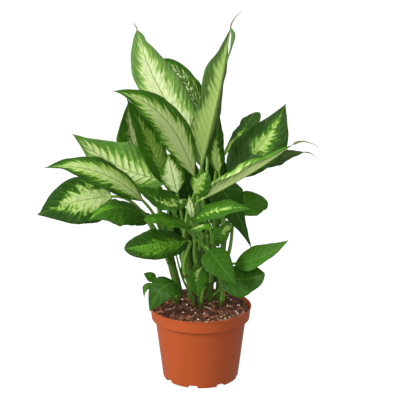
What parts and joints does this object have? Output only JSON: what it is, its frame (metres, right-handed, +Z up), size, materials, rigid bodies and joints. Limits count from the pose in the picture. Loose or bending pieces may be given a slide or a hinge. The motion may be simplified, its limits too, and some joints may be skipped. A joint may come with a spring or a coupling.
{
  "type": "potted dieffenbachia",
  "caption": "Bushy dieffenbachia with cream-splashed green leaves on upright canes, growing in potting mix in a thin terracotta-coloured nursery pot.",
  "frame": {"origin": "middle of the pot's flat underside, on the surface it stands on", "axes": "+Z up along the pot's axis, -Y towards the viewer of the picture, +X to that viewer's right"},
  "size_m": [0.4154, 0.2712, 0.5631],
  "materials": {
    "pot": "satin",
    "potting_mix": "matte",
    "cane": "satin",
    "leaf_variegated": "satin",
    "leaf_green": "satin"
  },
  "bodies": {
    "root": {"pot": "pot", "potting_mix": "potting_mix", "stem_left": "cane", "stem_left_thin": "cane", "stem_centre_left": "cane", "stem_centre": "cane", "stem_centre_front": "cane", "stem_centre_right": "cane", "stem_right": "cane", "stem_right_inner": "cane", "stem_low_right": "cane", "stem_low_front": "cane", "stem_low_left": "cane", "leaf_crown_left": "leaf_variegated", "leaf_crown_back": "leaf_variegated", "leaf_crown_right": "leaf_variegated", "leaf_left_arching": "leaf_variegated", "leaf_left_narrow": "leaf_variegated", "leaf_left_rear": "leaf_variegated", "leaf_left_high": "leaf_variegated", "leaf_left_middle": "leaf_variegated", "leaf_left_low": "leaf_variegated", "leaf_left_bright": "leaf_green", "leaf_left_hidden": "leaf_green", "leaf_heart_pale": "leaf_variegated", "leaf_front_dark": "leaf_variegated", "leaf_front_flat": "leaf_green", "leaf_front_oval": "leaf_green", "leaf_new_rolled": "leaf_variegated", "leaf_front_right": "leaf_variegated", "leaf_front_small": "leaf_variegated", "leaf_right_long": "leaf_variegated", "leaf_centre_mottled": "leaf_variegated", "leaf_right_broad": "leaf_variegated", "leaf_right_rear": "leaf_green", "leaf_right_tipped": "leaf_green", "leaf_centre_dark": "leaf_variegated", "leaf_right_drooping": "leaf_green", "leaf_right_round": "leaf_green", "leaf_inner_pale": "leaf_variegated", "leaf_back_high": "leaf_variegated", "leaf_back_left": "leaf_variegated", "leaf_back_right": "leaf_variegated", "leaf_back_low": "leaf_green", "leaf_back_young": "leaf_green", "leaf_inner_left": "leaf_green", "leaf_inner_right": "leaf_green", "leaf_inner_low": "leaf_green", "leaf_low_right_pointed": "leaf_green", "leaf_low_right_heart": "leaf_green", "leaf_low_front_heart": "leaf_green", "leaf_low_front_small": "leaf_variegated", "leaf_low_left_rim": "leaf_green", "leaf_low_left_tiny": "leaf_green", "leaf_low_left_curl": "leaf_green"}
  },
  "joints": []
}
